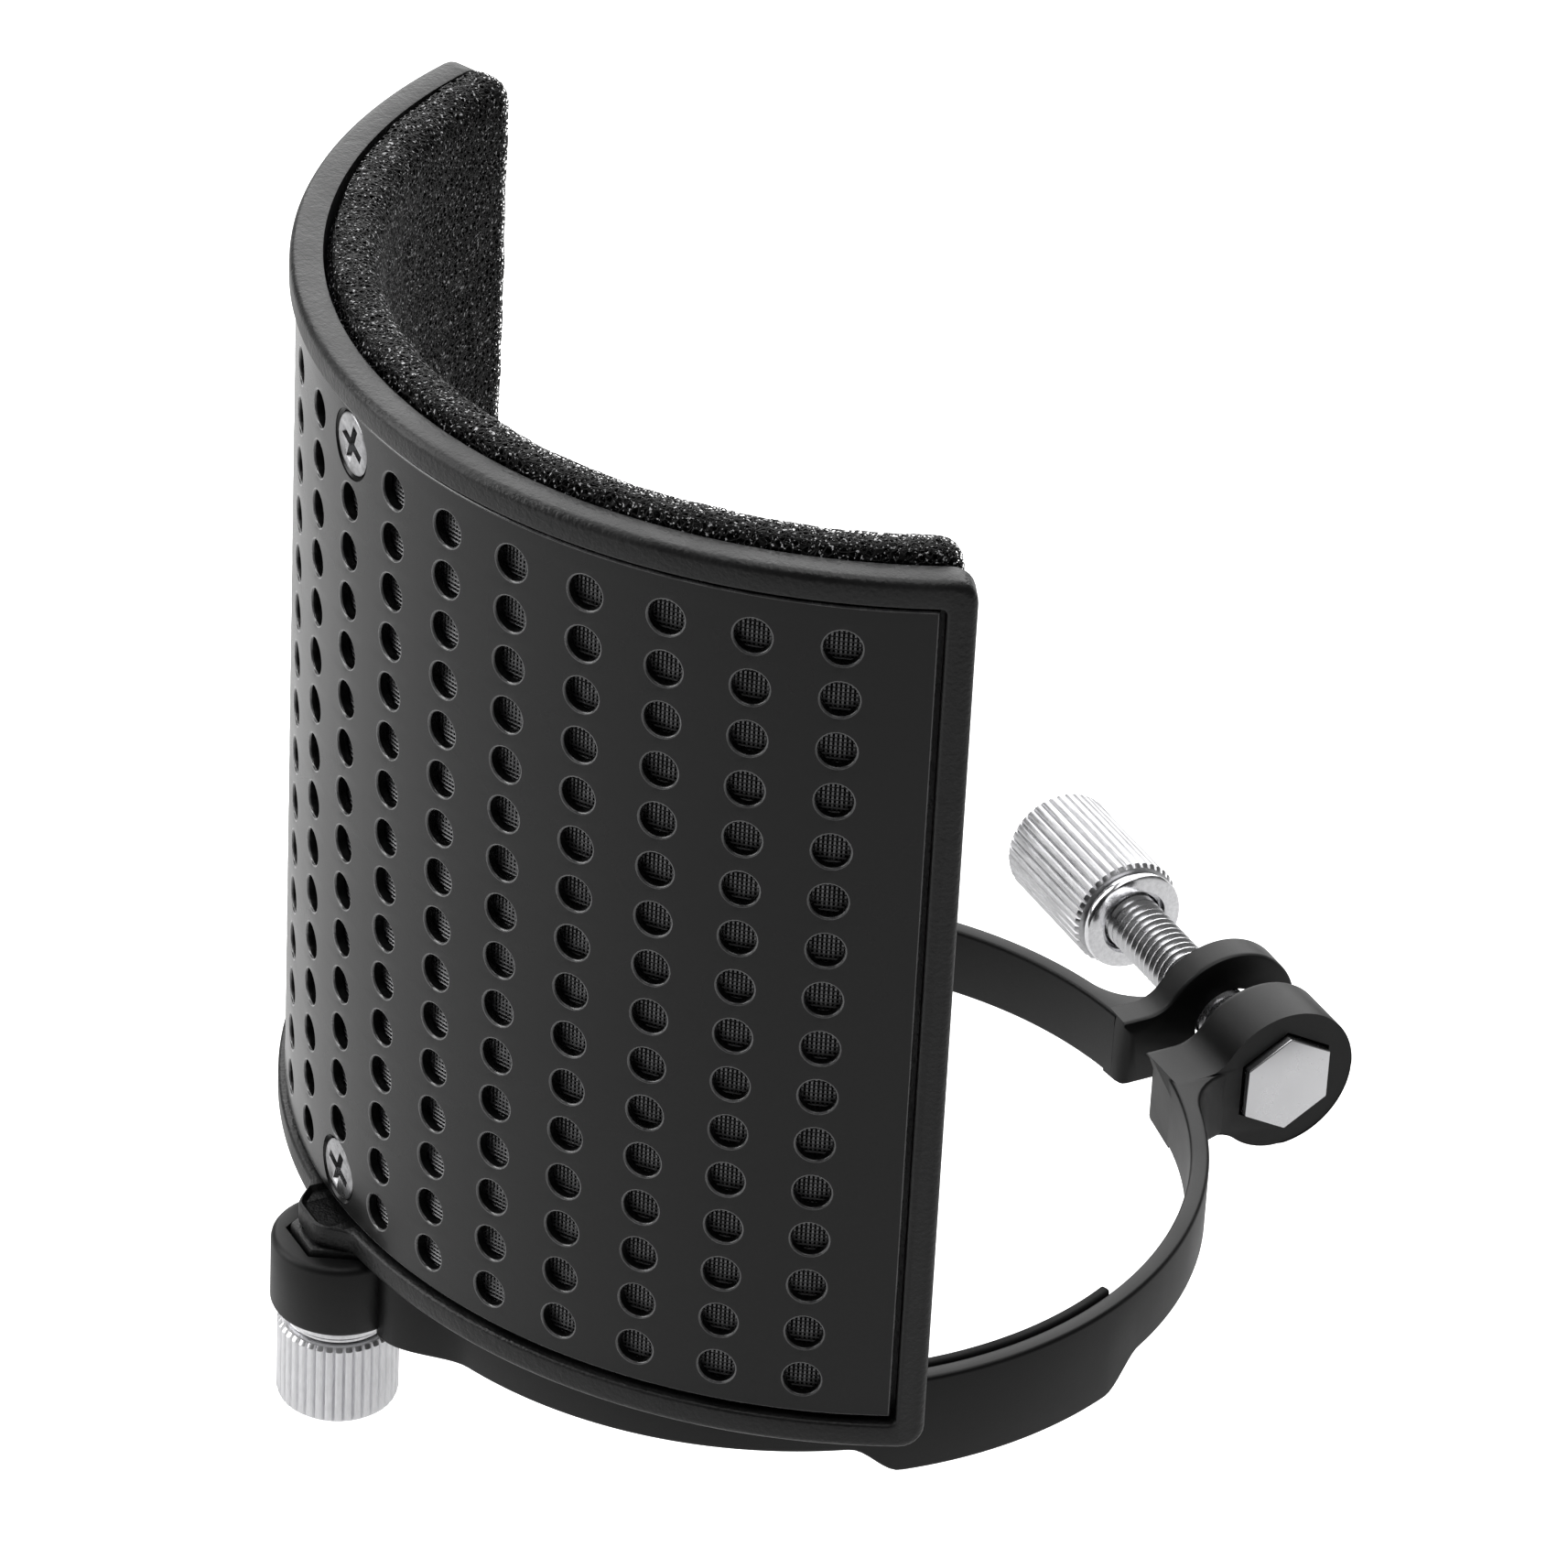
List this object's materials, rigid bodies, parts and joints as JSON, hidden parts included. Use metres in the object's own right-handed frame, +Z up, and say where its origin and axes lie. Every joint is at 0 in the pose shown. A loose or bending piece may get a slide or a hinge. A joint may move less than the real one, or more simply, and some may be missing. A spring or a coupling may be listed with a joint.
{
  "type": "microphone pop filter",
  "caption": "Curved perforated pop filter shield with foam lining on a split ring clamp, tightened by a bolt and knurled thumb nut, for a large microphone body",
  "frame": {"origin": "On the clamp ring's axis, halfway up its narrow band: the middle of the microphone body that it grips", "axes": "+Z up along the ring's axis and the microphone; -Y the shield's convex perforated front; +Y the clamp's ears; +X the side of the clamp bolt's head"},
  "size_m": [0.0896, 0.0951, 0.0946],
  "materials": {
    "frame_plastic": "fine satin, moulded",
    "grille_paint": "satin black powder coat on sheet steel",
    "mesh_wire": "black coated woven wire",
    "foam": "open-cell acoustic foam, matte",
    "clamp_plastic": "fine satin, moulded",
    "pad_rubber": "matte",
    "nut_aluminium": "turned and knurled, bright",
    "screw_steel": "bright zinc plate"
  },
  "bodies": {
    "shield_and_base": {"clamp_base": "clamp_plastic", "shield_frame": "frame_plastic", "grille_plate": "grille_paint", "wire_mesh": "mesh_wire", "foam_pad": "foam", "grille_screw_top": "screw_steel", "grille_screw_bottom": "screw_steel", "shield_stud": "screw_steel"},
    "arm_right": {"clamp_arm_right": "clamp_plastic", "grip_pad_right": "pad_rubber", "clamp_bolt": "screw_steel"},
    "arm_left": {"clamp_arm_left": "clamp_plastic", "grip_pad_left": "pad_rubber"},
    "clamp_collar": {"clamp_nut_collar": "nut_aluminium"},
    "clamp_thumb_nut": {"clamp_nut": "nut_aluminium"},
    "stud_collar": {"stud_nut_collar": "nut_aluminium"},
    "stud_thumb_nut": {"stud_nut": "nut_aluminium"}
  },
  "joints": [
    {"name": "clamp_close_right", "type": "hinge", "parent": "shield_and_base", "child": "arm_right", "pos_m": [0.01415, -0.03179, 0], "axis": [0, 0, 1], "range_deg": [0, 1.4], "stiffness_Nm_per_rad": 0.4},
    {"name": "clamp_close_left", "type": "hinge", "parent": "shield_and_base", "child": "arm_left", "pos_m": [-0.01415, -0.03179, 0], "axis": [0, 0, -1], "range_deg": [0, 1.4]},
    {"name": "clamp_nut_travel", "type": "slide", "parent": "arm_right", "child": "clamp_collar", "axis": [1, 0, 0], "range_m": [0, 0.0134]},
    {"name": "clamp_nut_spin", "type": "hinge", "parent": "clamp_collar", "child": "clamp_thumb_nut", "pos_m": [-0.0195, 0.044, 0.0008], "axis": [1, 0, 0], "range_deg": [0, 6028]},
    {"name": "stud_nut_travel", "type": "slide", "parent": "shield_and_base", "child": "stud_collar", "axis": [0, 0, -1], "range_m": [0, 0.0052]},
    {"name": "stud_nut_spin", "type": "hinge", "parent": "stud_collar", "child": "stud_thumb_nut", "pos_m": [0, -0.0391, -0.006], "axis": [0, 0, -1], "range_deg": [0, 2338]}
  ],
  "couplings": [
    {"joint": "clamp_close_left", "follows": "clamp_close_right", "ratio": 1},
    {"joint": "clamp_nut_travel", "follows": "clamp_nut_spin", "m_per_rad": 0.00012732},
    {"joint": "stud_nut_travel", "follows": "stud_nut_spin", "m_per_rad": 0.00012732}
  ]
}
